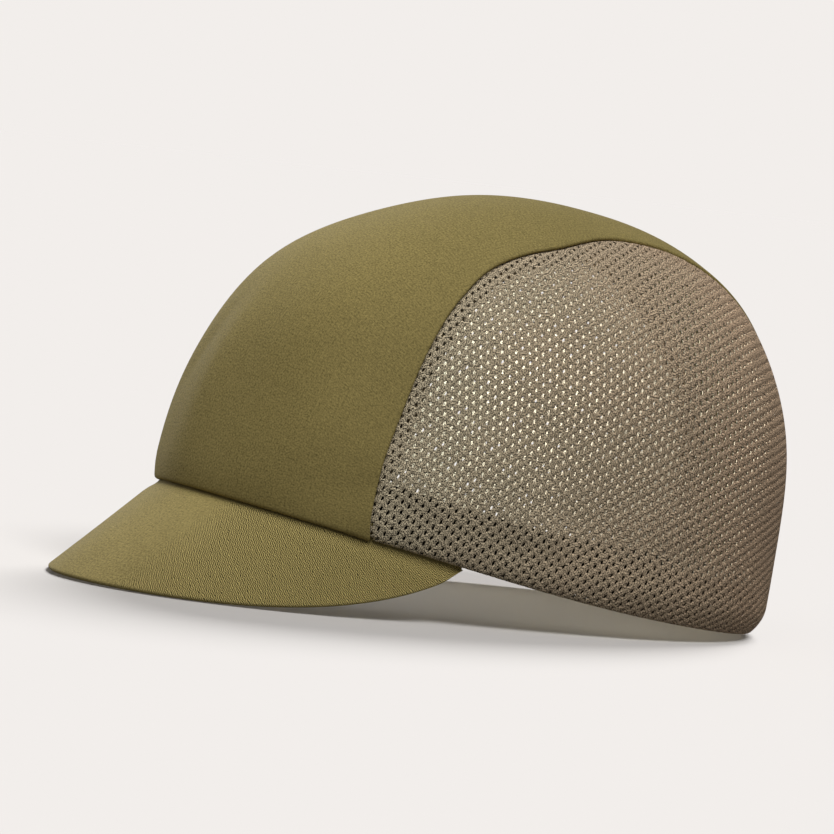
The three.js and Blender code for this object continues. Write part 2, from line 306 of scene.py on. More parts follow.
def wall(piece, thickness):
    """Gives a sheet its thickness, half to each side of its middle surface."""
    solid = piece.modifiers.new("wall", "SOLIDIFY")
    solid.thickness = thickness
    solid.offset = 0
    solid.use_even_offset = False


def socket(group, name, in_out, default=None):
    """Adds a number or vector socket to a node group."""
    kind = "NodeSocketVector" if name == "Vector" else "NodeSocketFloat"
    made = group.interface.new_socket(name=name, in_out=in_out, socket_type=kind)
    if default is not None:
        made.default_value = default


def math_node(tree, operation, a, b=None):
    """Math node whose inputs are links or numbers."""
    node = tree.nodes.new("ShaderNodeMath")
    node.operation = operation
    for i, value in enumerate([a] if b is None else [a, b]):
        if isinstance(value, (int, float)):
            node.inputs[i].default_value = value
        else:
            tree.links.new(value, node.inputs[i])
    return node.outputs[0]


def noise_node(tree, vector, stretch, detail=1.0):
    """Noise about 0 whose lumps are as long as the stretch says, in centimetres or metres, each way."""
    places = tree.nodes.new("ShaderNodeMapping")
    places.inputs["Scale"].default_value = [1 / length for length in stretch]
    tree.links.new(vector, places.inputs["Vector"])
    noise = tree.nodes.new("ShaderNodeTexNoise")
    noise.inputs["Scale"].default_value = 1.0
    noise.inputs["Detail"].default_value = detail
    tree.links.new(places.outputs[0], noise.inputs["Vector"])
    return math_node(tree, "SUBTRACT", noise.outputs["Fac"], 0.5)


# Sizes in the weave, in centimetres of cloth: its wobble, the lumps that break up twill ribs and the
# width over which ribs come in, its streaks, grain and fuzz. Then the shade of the threads' crossings.
wobble_lump, wobble_reach = 0.3, 0.04
rib_break_lump, rib_break_turns = 0.1, 1.7
rib_fade = 2.0
streak_long, streak_wide = 0.5, 0.07
grain_lump = 0.06
fuzz_wide, fuzz_tall = 0.024, 0.05
mean_crossing, crossing_shade = 0.4, 0.35
patch_lump = 30 * mm
patch_detail = 4.0
weave_height = 0.1 * mm
cloth_specular = 0.06
cloth_sheen = 0.03
cloth_sheen_roughness = 0.5


def thread_group():
    """Woven threads on the cloth's own places in centimetres. Warp and weft are two sines, and their
    product is high where a thread passes over and low in the gaps. Twill ribs are one more sine, whose
    turns are counted along and across, broken up by noise, and they come in away from the cloth's
    middle. Streaks are noise that is long one way or the other, grain is noise as fine as the yarn, and
    fuzz is finer noise, longer upwards. Puts out the relief, and a shade about 0."""
    group = bpy.data.node_groups.new("woven_threads", "ShaderNodeTree")
    socket(group, "Vector", "INPUT")
    for name in ("Threads per cm", "Ribs across", "Ribs along", "Ribs from", "Rib strength",
                 "Streaks", "Grain", "Fuzz"):
        socket(group, name, "INPUT", 0.0)
    socket(group, "Relief", "OUTPUT")
    socket(group, "Shade", "OUTPUT")
    links = group.links
    inside = group.nodes.new("NodeGroupInput")
    outside = group.nodes.new("NodeGroupOutput")
    split = group.nodes.new("ShaderNodeSeparateXYZ")
    links.new(inside.outputs["Vector"], split.inputs[0])

    vector = inside.outputs["Vector"]
    wobble = noise_node(group, vector, (wobble_lump, wobble_lump, 1), 2.0)
    wobble = math_node(group, "MULTIPLY", wobble, wobble_reach)
    x = math_node(group, "ADD", split.outputs["X"], wobble)
    y = math_node(group, "ADD", split.outputs["Y"], wobble)
    turns = math_node(group, "MULTIPLY", inside.outputs["Threads per cm"], np.pi)
    warp = math_node(group, "SINE", math_node(group, "MULTIPLY", x, turns))
    weft = math_node(group, "SINE", math_node(group, "MULTIPLY", y, turns))
    crossing = math_node(group, "ABSOLUTE", math_node(group, "MULTIPLY", warp, weft))
    crossing = math_node(group, "SUBTRACT", mean_crossing, crossing)
    ribs = math_node(group, "ADD", math_node(group, "MULTIPLY", x, inside.outputs["Ribs across"]),
                     math_node(group, "MULTIPLY", y, inside.outputs["Ribs along"]))
    broken = noise_node(group, vector, (rib_break_lump, rib_break_lump, 1))
    ribs = math_node(group, "ADD", ribs, math_node(group, "MULTIPLY", broken, rib_break_turns))
    rib = math_node(group, "SINE", math_node(group, "MULTIPLY", ribs, 2 * np.pi))
    outer = group.nodes.new("ShaderNodeMapRange")
    outer.inputs["To Max"].default_value = 1.0
    links.new(math_node(group, "ABSOLUTE", y), outer.inputs["Value"])
    links.new(inside.outputs["Ribs from"], outer.inputs["From Min"])
    links.new(math_node(group, "ADD", inside.outputs["Ribs from"], rib_fade), outer.inputs["From Max"])
    rib = math_node(group, "MULTIPLY", rib, outer.outputs["Result"])
    rib = math_node(group, "MULTIPLY", rib, inside.outputs["Rib strength"])

    streaks = math_node(group, "ADD", noise_node(group, vector, (streak_long, streak_wide, 1)),
                        noise_node(group, vector, (streak_wide, streak_long, 1)))
    streaks = math_node(group, "MULTIPLY", streaks, inside.outputs["Streaks"])
    grain = noise_node(group, vector, (grain_lump, grain_lump, 1))
    grain = math_node(group, "MULTIPLY", grain, inside.outputs["Grain"])
    fuzz = noise_node(group, vector, (fuzz_wide, fuzz_tall, 1), 0.0)
    fuzz = math_node(group, "MULTIPLY", fuzz, inside.outputs["Fuzz"])
    uneven = math_node(group, "ADD", math_node(group, "ADD", streaks, grain), fuzz)
    fine = math_node(group, "ADD", math_node(group, "MULTIPLY", crossing, crossing_shade), rib)
    shade = math_node(group, "ADD", fine, uneven)
    links.new(shade, outside.inputs["Shade"])
    links.new(math_node(group, "ADD", shade, crossing), outside.inputs["Relief"])
    return group


woven_threads = thread_group()


def cloth_material(name, front_colour, rear_colour, fade, contrast, roughness, depth, patches, **threads):
    """Woven or knitted cloth. Its colour goes over from that of the front to that of the rear between
    the two places along the cap that fade gives. It is darkened and lightened about that tone by the
    shade of its threads and by soft patches, and its relief is that of the threads."""
    material = bpy.data.materials.new(name)
    material.use_nodes = True
    tree = material.node_tree
    nodes, links = tree.nodes, tree.links
    shader = nodes["Principled BSDF"]
    shader.inputs["Roughness"].default_value = roughness
    shader.inputs["Specular IOR Level"].default_value = cloth_specular
    shader.inputs["Sheen Weight"].default_value = cloth_sheen
    shader.inputs["Sheen Roughness"].default_value = cloth_sheen_roughness
    shader.inputs["Sheen Tint"].default_value = (*np.sqrt(front_colour), 1)
    places = nodes.new("ShaderNodeUVMap")
    places.uv_map = "cloth_cm"
    weave = nodes.new("ShaderNodeGroup")
    weave.node_tree = woven_threads
    for label, value in threads.items():
        weave.inputs[label.replace("_", " ").capitalize()].default_value = value
    links.new(places.outputs[0], weave.inputs["Vector"])
    place = nodes.new("ShaderNodeTexCoord")
    patch = noise_node(tree, place.outputs["Object"], (patch_lump, patch_lump, patch_lump), patch_detail)
    tone = math_node(tree, "ADD", math_node(tree, "MULTIPLY", patch, patches), weave.outputs["Shade"])
    tones = nodes.new("ShaderNodeValToRGB")
    tones.color_ramp.elements[0].color = ((1 - contrast) / (1 + contrast),) * 3 + (1,)
    tones.color_ramp.elements[1].color = (1, 1, 1, 1)
    links.new(math_node(tree, "ADD", tone, 0.5), tones.inputs["Fac"])
    # The change of colour from front to rear is painted light and shade; on the mesh it is also a change of
    # its own hue.
    split = nodes.new("ShaderNodeSeparateXYZ")
    links.new(place.outputs["Object"], split.inputs[0])
    rearward = nodes.new("ShaderNodeMapRange")
    rearward.inputs["From Min"].default_value = fade[0]
    rearward.inputs["From Max"].default_value = fade[1]
    uneven = math_node(tree, "MULTIPLY", patch, (fade[1] - fade[0]) / 2)
    links.new(math_node(tree, "ADD", split.outputs["Y"], uneven), rearward.inputs["Value"])
    colour_and_painted_shade = nodes.new("ShaderNodeValToRGB")
    for stop, colour in zip(colour_and_painted_shade.color_ramp.elements, (front_colour, rear_colour)):
        stop.color = (*(np.array(colour) * (1 + contrast)), 1)
    links.new(rearward.outputs["Result"], colour_and_painted_shade.inputs["Fac"])
    mixed = nodes.new("ShaderNodeMix")
    mixed.data_type = "RGBA"
    mixed.blend_type = "MULTIPLY"
    mixed.inputs["Factor"].default_value = 1.0
    links.new(colour_and_painted_shade.outputs["Color"], mixed.inputs[6])
    links.new(tones.outputs["Color"], mixed.inputs[7])
    links.new(mixed.outputs[2], shader.inputs["Base Color"])
    bump = nodes.new("ShaderNodeBump")
    bump.inputs["Strength"].default_value = depth
    bump.inputs["Distance"].default_value = weave_height
    links.new(weave.outputs["Relief"], bump.inputs["Height"])
    links.new(bump.outputs["Normal"], shader.inputs["Normal"])
    return material


def panel_rows():
    """Shares along the cloth panel from hem to hem: close together in the folds and near them."""
    fold = np.linspace(-hem_fold_depth, 0, 12)
    near = np.array([0.4, 0.9, 1.6, 2.6, 4, 6, 9, 12]) * mm
    return np.concatenate([fold, near]) / crown_front_reach


def cloth_panel():
    """Panel's middle surface on a grid. Across, it runs from the turned edge, round a half circle, over
    the panel and round to the other turned edge; along, from hem to hem."""
    turn = np.linspace(-90, 90, 9)[1:-1] * deg
    roll_in = seam_roll_radius * (1 - np.cos(turn))
    roll_up = seam_roll_radius * np.sin(turn)
    under = np.linspace(seam_turned_width, seam_roll_radius, 4)
    near = np.array([0.4, 0.8, 1.4, 2.2, 3.2, 4.5, 6.5, 9]) * mm
    edge_in = np.concatenate([under, roll_in, near])
    edge_lift = np.concatenate([
        np.full(4, -2 * seam_roll_radius), roll_up - seam_roll_radius, np.zeros(len(near))])
    share = np.linspace(-1, 1, panel_columns)[2:-2]
    inward = np.concatenate([edge_in, np.zeros(len(share)), edge_in[::-1]])
    side = np.concatenate([-np.ones(len(edge_in)), share, np.ones(len(edge_in))])
    at_edge = np.abs(side) == 1
    lift = np.concatenate([edge_lift, np.zeros(len(share)), edge_lift[::-1]])

    ends = panel_rows()
    middle = np.linspace(0, 1, panel_middle_rows)[1:-1]
    first, last = seam_out(0.0), seam_out(np.pi)
    from_over = over_at_height(side * first, 0, False)
    to_over = over_at_height(side * last, 0, True)
    begin, end = from_over + ends[-1], to_over - ends[-1]
    over = np.concatenate([
        from_over + ends[:, None], begin + (end - begin) * middle[:, None], to_over - ends[::-1, None]])
    radius = np.linalg.norm(crown_point(direction_over(over, side * seam_out(over))), axis=-1)
    out = side * seam_out(over) - np.where(at_edge, np.sign(side), 0) * inward / radius
    # The seam's turned edges lie under the cloth beside it and lift it a little.
    from_seam = np.where(at_edge, inward, (1 - np.abs(side)) * seam_out(over) * radius)
    raised = seam_stand * np.exp(-(from_seam / seam_stand_width) ** 2)
    outside = lift - cloth_thickness / 2 + raised
    return sewn_sheet(direction_over(over, out), outside, hem_fold_radius)


panel_points = at_rest(cloth_panel())
rows, columns = panel_points.shape[:2]
# The olive cloth is painted lighter at the front and darker at the rear in one hue: painted light and
# shade.
olive_cloth = cloth_material("olive_plain_weave", (0.281, 0.2235, 0.0795), (0.237, 0.189, 0.067),
                             fade=(-55 * mm, 30 * mm), contrast=0.8, roughness=0.8, depth=0.5,
                             patches=0.15, threads_per_cm=26, streaks=0.2, grain=0.9)
cloth = new_piece("cloth_panel", panel_points.reshape(-1, 3), grid_quads(rows, columns),
                  surface_cm(panel_points).reshape(-1, 2), olive_cloth, "panel_cloth", "crown_panel")
wall(cloth, cloth_thickness)

# Mesh panels. Knitted mesh with staggered rows of small oval holes, one panel for each side. Its seam
# edge runs under the turned edge of the cloth, and its lower edge is turned up inside as the hem.

mesh_thickness = 0.32 * mm
hole_pitch = 4.25 * mm
hole_row = 1.66 * mm
hole_wide = 0.85 * mm
hole_tall = 1.5 * mm
hole_lean = 0.25
rear_shrink = 0.62
rear_shrink_from = 12 * mm
rear_shrink_over = 50 * mm
band_from = 26 * mm
band_over = 10 * mm
mesh_under_cloth = 4 * mm
mesh_hem_turn = 5 * mm
mesh_fold_radius = 1.5 * mm
mesh_dip = 1.25 * mm
mesh_dip_width = 1.6 * mm
mesh_relief = 0.03 * mm
mesh_edge_steps = 220
mesh_middle_above = 35 * deg

# A cell is kept if its middle is this far inside the cut edge, and pierced if it is further inside, in
# rows of holes.
kept_inside = 0.4
pierced_inside = 1.3


def mesh_edge():
    """Directions round a mesh panel's cut edge, under the cloth and then along inside the hem."""
    shares = np.linspace(0, 1, mesh_edge_steps)
    under = mesh_under_cloth / crown_rear_reach
    begin = over_at_height(seam_out(0.0) - under, -mesh_hem_turn, False)
    end = over_at_height(seam_out(np.pi) - under, -mesh_hem_turn, True)
    over = begin + (end - begin) * shares
    seam = direction_over(over, seam_out(over) - under)
    front, rear = (np.arctan2(d[0], -d[1]) for d in (seam[0], seam[-1]))
    hem = hem_direction(rear + (front - rear) * shares, -mesh_hem_turn)
    return np.concatenate([seam, hem]), (front + rear) / 2


edge_directions, middle_around = mesh_edge()
mesh_middle = direction_around(np.array(middle_around), np.array(mesh_middle_above))
about_middle = np.stack([np.cross([0, 0, 1.0], mesh_middle), np.cross(mesh_middle, [0, 1.0, 0])])
about_middle[0] = unit(about_middle[0])
about_middle[1] = np.cross(mesh_middle, about_middle[0])


def crown_stretch():
    """How the crown's surface at the panel's middle moves, level and up it, when the direction moves
    along each of the two lines about the middle."""
    step = 0.01
    ahead, behind = (crown_point(unit(mesh_middle + turn * about_middle)) for turn in (step, -step))
    moves = ahead - behind
    level = unit(np.cross([0, 0, 1.0], np.cross(moves[0], moves[1])))
    upwards = unit(np.cross(np.cross(moves[0], moves[1]), level))
    return np.stack([moves @ level, moves @ upwards]) / np.linalg.norm(moves)


middle_stretch = crown_stretch()


def spoke(bearing):
    """Unit vector about the middle along which the crown's surface runs at a bearing, 0 level to the
    rear and 90 degrees up."""
    across = np.stack([np.cos(bearing), np.sin(bearing)], -1) @ np.linalg.inv(middle_stretch).T
    return unit(across @ about_middle)


# Flat cut of a mesh panel: polar places about its middle, with distances measured along the crown.
bearing_steps, reach_steps = 241, 160
widest_reach = 88 * deg
bearings = np.linspace(-np.pi, np.pi, bearing_steps)
reaches = np.linspace(0, widest_reach, reach_steps)
fan = (np.cos(reaches)[None, :, None] * mesh_middle
       + np.sin(reaches)[None, :, None] * spoke(bearings)[:, None])
spoke_steps = np.linalg.norm(np.diff(crown_point(fan), axis=1), axis=-1)
spoke_length = np.concatenate([np.zeros((bearing_steps, 1)), np.cumsum(spoke_steps, 1)], 1)


def between_spokes(table, bearing, place):
    """Value of a table of spokes at a bearing and a place along the spoke, both as shares of a step."""
    i = np.clip(((bearing + np.pi) / (2 * np.pi)) * (bearing_steps - 1), 0, bearing_steps - 1.001)
    j = np.clip(place, 0, table.shape[1] - 1.001)
    i0, j0 = i.astype(int), j.astype(int)
    a, b = i - i0, j - j0
    low = table[i0, j0] * (1 - b) + table[i0, j0 + 1] * b
    high = table[i0 + 1, j0] * (1 - b) + table[i0 + 1, j0 + 1] * b
    return low * (1 - a) + high * a


cut_reach = spoke_length[:, -1].min()
cut_steps = 200
cut_places = np.linspace(0, cut_reach, cut_steps)
spoke_angle = np.stack([np.interp(cut_places, lengths, reaches) for lengths in spoke_length])


def cut_direction(x, y):
    """Direction of a place on the flat cut: its bearing turns to the spoke, its distance is laid along
    the crown on that spoke."""
    bearing = np.arctan2(y, x)
    angle = between_spokes(spoke_angle, bearing, np.hypot(x, y) / cut_reach * (cut_steps - 1))
    return np.cos(angle)[..., None] * mesh_middle + np.sin(angle)[..., None] * spoke(bearing)


edge_across = edge_directions @ about_middle.T @ middle_stretch.T
edge_bearing = np.arctan2(edge_across[:, 1], edge_across[:, 0])
edge_angle = np.arccos(np.clip(edge_directions @ mesh_middle, -1, 1))
edge_reach = between_spokes(spoke_length, edge_bearing, edge_angle / reaches[-1] * (reach_steps - 1))
in_turn = np.argsort(edge_bearing)


def cut_edge(x, y):
    """Distance of the cut edge from the middle, on the bearing of a place."""
    return np.interp(np.arctan2(y, x), edge_bearing[in_turn], edge_reach[in_turn], period=2 * np.pi)


def mesh_lift(direction):
    """Lift of the mesh: its wall lies just below the crown's surface, and dips under the cloth's turned
    edge beside the seam."""
    out = np.arcsin(np.clip(direction[..., 0], -1, 1))
    over = np.arctan2(direction[..., 2], -direction[..., 1])
    over = np.where(over < -np.pi / 2, over + 2 * np.pi, over)
    radius = np.linalg.norm(crown_point(direction), axis=-1)
    from_seam = (out - seam_out(over)) * radius
    return -mesh_thickness / 2 - mesh_dip * (1 - blend_in(from_seam / mesh_dip_width))


def pierced_sheet():
    """Diamond cells on a grid turned to the staggered rows. A cell has 4 corners, 4 points on its
    sides and 8 on its oval hole, and 8 quads between them. The holes lean a little and get smaller
    towards the rear, but not in front of the band. A cell at the edge has no hole, and its outer
    points are moved onto the edge."""
    count = int(np.ceil(2 * cut_reach / min(hole_pitch, 2 * hole_row)))
    steps = np.arange(-count, count + 1)
    p, q = np.meshgrid(steps, steps, indexing="ij")
    right, up = hole_pitch / 2, hole_row

    def place(a, b):
        return (a + b) * right, (a - b) * up

    x, y = place(p, q)
    distance = np.hypot(x, y)
    limit = cut_edge(x, y)
    kept = distance < limit - kept_inside * hole_row
    pierced = distance < limit - pierced_inside * hole_row

    # Numbers of the grid's points: corners, points on the two sets of sides, then each cell's eight.
    n = len(steps)
    corner = np.arange((n + 1) ** 2).reshape(n + 1, n + 1)
    side_p = corner.size + np.arange(n * (n + 1)).reshape(n, n + 1)
    side_q = corner.size + side_p.size + np.arange((n + 1) * n).reshape(n + 1, n)
    inner = corner.size + side_p.size + side_q.size + np.arange(n * n * 8).reshape(n, n, 8)
    half = np.arange(-count - 0.5, count + 1)
    xs, ys = [], []
    for a, b in ((half, half), (steps, half), (half, steps)):
        grid_a, grid_b = np.meshgrid(a, b, indexing="ij")
        px, py = place(grid_a, grid_b)
        xs.append(px.ravel())
        ys.append(py.ravel())
    round_hole = np.arange(8) * np.pi / 4
    above_band = 1 - blend_in((-y[..., None] - band_from) / band_over)
    size = 1 - rear_shrink * above_band * blend_in((x[..., None] - rear_shrink_from) / rear_shrink_over)
    aside = hole_wide / 2 * np.cos(round_hole) + hole_lean * hole_tall / 2 * np.sin(round_hole)
    xs.append((x[..., None] + size * aside).ravel())
    ys.append((y[..., None] + size * hole_tall / 2 * np.sin(round_hole)).ravel())
    xs, ys = np.concatenate(xs), np.concatenate(ys)

    # Border of each cell from its right corner round: corners and side points in turn.
    border = np.stack([
        corner[1:, 1:], side_q[1:, :], corner[1:, :-1], side_p[:, :-1],
        corner[:-1, :-1], side_q[:-1, :], corner[:-1, 1:], side_p[:, 1:]], -1)
    after = np.roll(border, -1, -1)
    ring = np.stack([border, after, np.roll(inner, -1, -1), inner], -1)[pierced & kept].reshape(-1, 4)
    plain = kept & ~pierced
    hub = inner[plain][:, 0]
    xs[hub] = x[plain]
    ys[hub] = y[plain]
    rim = border[plain]
    closed = np.concatenate([
        np.stack([rim[:, k], rim[:, (k + 1) % 8], hub, rim[:, k - 1]], -1) for k in (0, 2, 4, 6)])
    faces = np.concatenate([ring, closed])

    # Points of a kept cell's side with no neighbour go to the edge.
    padded = np.pad(kept, 1)
    outer = []
    sides = ((0, 1, 2), (2, 3, 4), (4, 5, 6), (6, 7, 0))
    for side, (dp, dq) in zip(sides, ((1, 0), (0, -1), (-1, 0), (0, 1))):
        alone = kept & ~padded[1 + dp:n + 1 + dp, 1 + dq:n + 1 + dq]
        outer.append(border[alone][:, side].ravel())
    outer = np.unique(np.concatenate(outer))
    to_edge = cut_edge(xs[outer], ys[outer]) / np.hypot(xs[outer], ys[outer])
    xs[outer] *= to_edge
    ys[outer] *= to_edge

    used, faces = np.unique(faces, return_inverse=True)
    faces = faces.reshape(-1, 4)
    at_hole = used >= inner[0, 0, 0]
    return xs[used], ys[used], at_hole, faces


cut_x, cut_y, at_hole, mesh_faces = pierced_sheet()
mesh_directions = cut_direction(cut_x, cut_y)
lift = mesh_lift(mesh_directions) + np.where(at_hole, -0.5, 0.5) * mesh_relief
left_points = at_rest(sewn_sheet(mesh_directions, lift, mesh_fold_radius))
# The mesh goes from lighter and greyer at the front to darker and browner at the rear: the browner hue is
# its own, the darkening is painted shade.
taupe_mesh = cloth_material("taupe_knitted_mesh", (0.459, 0.393, 0.27), (0.408, 0.293, 0.195),
                            fade=(-45 * mm, 85 * mm), contrast=0.9, roughness=0.85, depth=0.8,
                            patches=0.25, threads_per_cm=20, streaks=0.2, grain=0.3, fuzz=4.6)
mesh_places = np.stack([cut_x, cut_y], -1) * 100
for name, mirror in (("left", 1), ("right", -1)):
    faces = mesh_faces if mirror > 0 else mesh_faces[:, ::-1]
    panel = new_piece("mesh_panel_" + name, left_points * np.array([mirror, 1, 1]), faces,
                      mesh_places, taupe_mesh, "side_mesh", "side_panel_" + name)
    wall(panel, mesh_thickness)

# Hem band. A soft knitted strip inside the whole hem, sewn in along its lower edge. Its long edges are
# round.

band_bottom = 1.8 * mm
band_top = 17.5 * mm
band_depth = 2.3 * mm
band_thickness = 0.9 * mm
band_stations = 240
strip_rows = 9


def strip_profile(low, high, thickness):
    """Closed section of a flat strip with round edges: heights up one face, half a circle over the top,
    down the other face and half a circle below, with the depth at each."""
    half = thickness / 2
    turn = np.linspace(0, np.pi, 6)[1:-1]
    rise = np.linspace(low + half, high - half, strip_rows)
    height = np.concatenate([rise, high - half + half * np.sin(turn),
                             rise[::-1], low + half - half * np.sin(turn)])
    face = np.full(strip_rows, half)
    depth = np.concatenate([-face, -half * np.cos(turn), face, half * np.cos(turn)])
    return height, depth


def hem_band():
    """The strip's section carried once round the crown, inside its surface."""
    height, depth = strip_profile(band_bottom, band_top, band_thickness)
    around = np.linspace(-np.pi, np.pi, band_stations + 1)[:-1]
    directions = hem_direction(around[:, None] + 0 * height, height + 0 * around[:, None])
    point, normal = crown_frame(directions)
    return point - normal * (band_depth + depth)[:, None]


band_points = at_rest(hem_band())
rows, columns = band_points.shape[:2]
column = np.arange(columns)
after = (column + 1) % columns
last_row = (rows - 1) * columns
join = np.stack([last_row + column, last_row + after, after, column], -1)
band_faces = np.concatenate([grid_quads(rows, columns, wraps=True), join])
# The band is near black so that the holes in front of it look dark: painted shade for the shade inside the
# doubled hem.
band_cloth = cloth_material("taupe_band_knit", (0.032, 0.0265, 0.019), (0.028, 0.0225, 0.015),
                            fade=(-45 * mm, 85 * mm), contrast=0.7, roughness=0.9, depth=0.8,
                            patches=0.2, threads_per_cm=16, streaks=0.3, grain=0.6)
new_piece("hem_band_strip", band_points.reshape(-1, 3), band_faces,
          surface_cm(band_points).reshape(-1, 2), band_cloth, "band_cloth", "hem_band")

# Seam edges. The raw edges of both panels, turned flat and held down inside each seam. They lie behind
# the first rows of holes beside the seam, which look dark for it.

edges_half_width = 5 * mm
edges_depth = 2.2 * mm
edges_thickness = 0.8 * mm
edges_above_band = 0.6 * mm
edges_stations = 120


def seam_edges():
    """The strip's section laid across the seam and carried along it from band to band."""
    offset, depth = strip_profile(-edges_half_width, edges_half_width, edges_thickness)
    turn = offset / crown_front_reach
    foot = band_top + edges_above_band
    begin = over_at_height(seam_out(0.0) + turn, foot, False)
    end = over_at_height(seam_out(np.pi) + turn, foot, True)
    over = begin + (end - begin) * np.linspace(0, 1, edges_stations)[:, None]
    point, normal = crown_frame(direction_over(over, seam_out(over) + turn))
    return point - normal * (edges_depth + depth)[:, None]


def closed_tube(rows, columns, pole):
    """Quads of a tube of closed sections with both its ends closed: from the pole, a point of the
    section, the points on its two sides are joined in pairs."""
    k = np.arange(columns // 2)
    on, back = (pole + k) % columns, (pole - 1 - k) % columns
    end = np.stack([on[:-1], on[1:], back[1:], back[:-1]], -1)
    return np.concatenate([grid_quads(rows, columns, wraps=True), end[:, ::-1], end + (rows - 1) * columns])


edges_points = at_rest(seam_edges())
rows, columns = edges_points.shape[:2]
edges_faces = closed_tube(rows, columns, columns - 2)
for name, mirror in (("left", 1), ("right", -1)):
    faces = edges_faces if mirror > 0 else edges_faces[:, ::-1]
    new_piece("seam_edges_strip_" + name, edges_points.reshape(-1, 3) * np.array([mirror, 1, 1]), faces,
              surface_cm(edges_points).reshape(-1, 2), taupe_mesh, "side_mesh", "seam_edges_" + name)

# Peak. A stiff sheet between two layers of olive twill, turned down from the front hem. Its free edge
# is round where the layers are turned in, and its root runs up behind the hem.

peak_length = 45.4 * mm
peak_end_length = 0.9 * mm
peak_thickness = 1.5 * mm
peak_end_thickness = 0.6 * mm
peak_root_inset = 0.6 * mm
peak_half_span = 56.6 * deg
peak_slope_middle = 46.95 * deg
peak_slope_end = 88 * deg
peak_steepening = 2.25
peak_fullness = 1.02
peak_below_hem = 0.35 * mm
peak_tuck = 5 * mm
peak_tuck_inset = 1.2 * mm
peak_tuck_lean = 0.25
peak_end_rise = 1 * mm
peak_end_inset = 0.8 * mm
peak_end_share = 0.06
groove_middle_depth = 0.5 * mm
groove_end_depth = 1.8 * mm
groove_width = 2.8 * mm
peak_stations = 181
peak_rows = 40
peak_edge_rows = 8


def peak():
    """Straight lines that run forward and down from below the hem, steeper towards both ends. Across
    the sheet the section is closed: along the upper face, round the free edge, back along the lower
    face. Behind the root both faces turn up inside the hem. Beside the root the upper face is sunk in a
    bell-curve groove, and at its two ends the peak thins out and slips up behind the hem."""
    across = np.linspace(-1, 1, peak_stations)
    around = across * peak_half_span
    slope = peak_slope_middle + (peak_slope_end - peak_slope_middle) * np.abs(across) ** peak_steepening
    run = np.stack([0 * slope, -np.cos(slope), -np.sin(slope)], -1)
    hem = [crown_point(hem_direction(around + turn, 0.0)) for turn in (0, deg, -deg)]
    beside = unit(hem[1] - hem[2])
    up = unit(np.cross(run, beside))
    inward = -unit(np.stack([beside[:, 1], -beside[:, 0], 0 * slope], -1))
    slip = blend_in(1 - (1 - np.abs(across)) / peak_end_share)[:, None]
    root = (hem[0] + inward * (peak_root_inset + peak_end_inset * slip)
            + np.array([0, 0, 1.0]) * (peak_end_rise * slip - peak_below_hem))
    fullness = np.maximum(1 - across ** 2, 0) ** peak_fullness
    length = peak_end_length + (peak_length - peak_end_length) * fullness

    thickness = (peak_thickness + (peak_end_thickness - peak_thickness) * slip[:, 0])[:, None]
    half = thickness / 2
    turn = np.linspace(0, np.pi, peak_edge_rows + 2)[None, 1:-1]
    flat = (length[:, None] - half) * np.linspace(0, 1, peak_rows)
    reach = np.concatenate([flat, length[:, None] - half + half * np.sin(turn), flat[:, ::-1]], 1)
    groove = groove_middle_depth + (groove_end_depth - groove_middle_depth) * across[:, None] ** 2
    sunk = groove * np.exp(-(flat / groove_width) ** 2)
    depth = np.concatenate([sunk, half * (1 - np.cos(turn)), 0 * flat + thickness + sunk[:, ::-1]], 1)
    sheet = root[:, None] + run[:, None] * reach[..., None] - up[:, None] * depth[..., None]

    # Tucked part behind the root, from the lower face round to the upper one.
    tuck_depth = thickness * np.array([1, 1, 0, 0]) + groove
    tuck_up = np.array([0.5, 1, 1, 0.5]) * peak_tuck
    rise = unit(np.array([0, 0, 1.0]) + inward * peak_tuck_lean)
    tuck = (root[:, None] + inward[:, None] * (tuck_depth / 2 + peak_tuck_inset)[..., None]
            + rise[:, None] * tuck_up[:, None])
    return np.concatenate([sheet, tuck], 1)


peak_points = at_rest(peak())
rows, columns = peak_points.shape[:2]
free_edge = peak_rows + peak_edge_rows // 2
# The peak is painted lighter towards the rear, where its ends run back, than at its front: painted light
# and shade.
olive_twill = cloth_material("olive_twill", (0.27, 0.2155, 0.0815), (0.355, 0.285, 0.1055),
                             fade=(-105 * mm, -40 * mm), contrast=0.8, roughness=0.8, depth=0.6,
                             patches=0.15, threads_per_cm=24, ribs_across=-17, ribs_along=15.8,
                             rib_strength=1.3, ribs_from=2.2, streaks=0.2, grain=0.9)
new_piece("peak_sheet", peak_points.reshape(-1, 3), closed_tube(rows, columns, free_edge),
          surface_cm(peak_points).reshape(-1, 2), olive_twill, "peak_cloth", "peak")

# Floor. A plain pale floor, as bright as the air behind it, that shows only the cap's soft shadow. Its
# paint is worked out so that its own two lamps, the air and a faint glow of its own make it just as
# bright as the backdrop. The glow is painted light, and it also lightens that shadow.

backdrop = np.array([0.888, 0.855, 0.831])
air_light = 0.15
floor_lamps = (("lamp_floor_behind", 216, 42, 3.7), ("lamp_floor_left", 95, 48, 2.6))
floor_lamp_spread = 25 * deg
floor_glow = 0.05
floor_size = 20.0

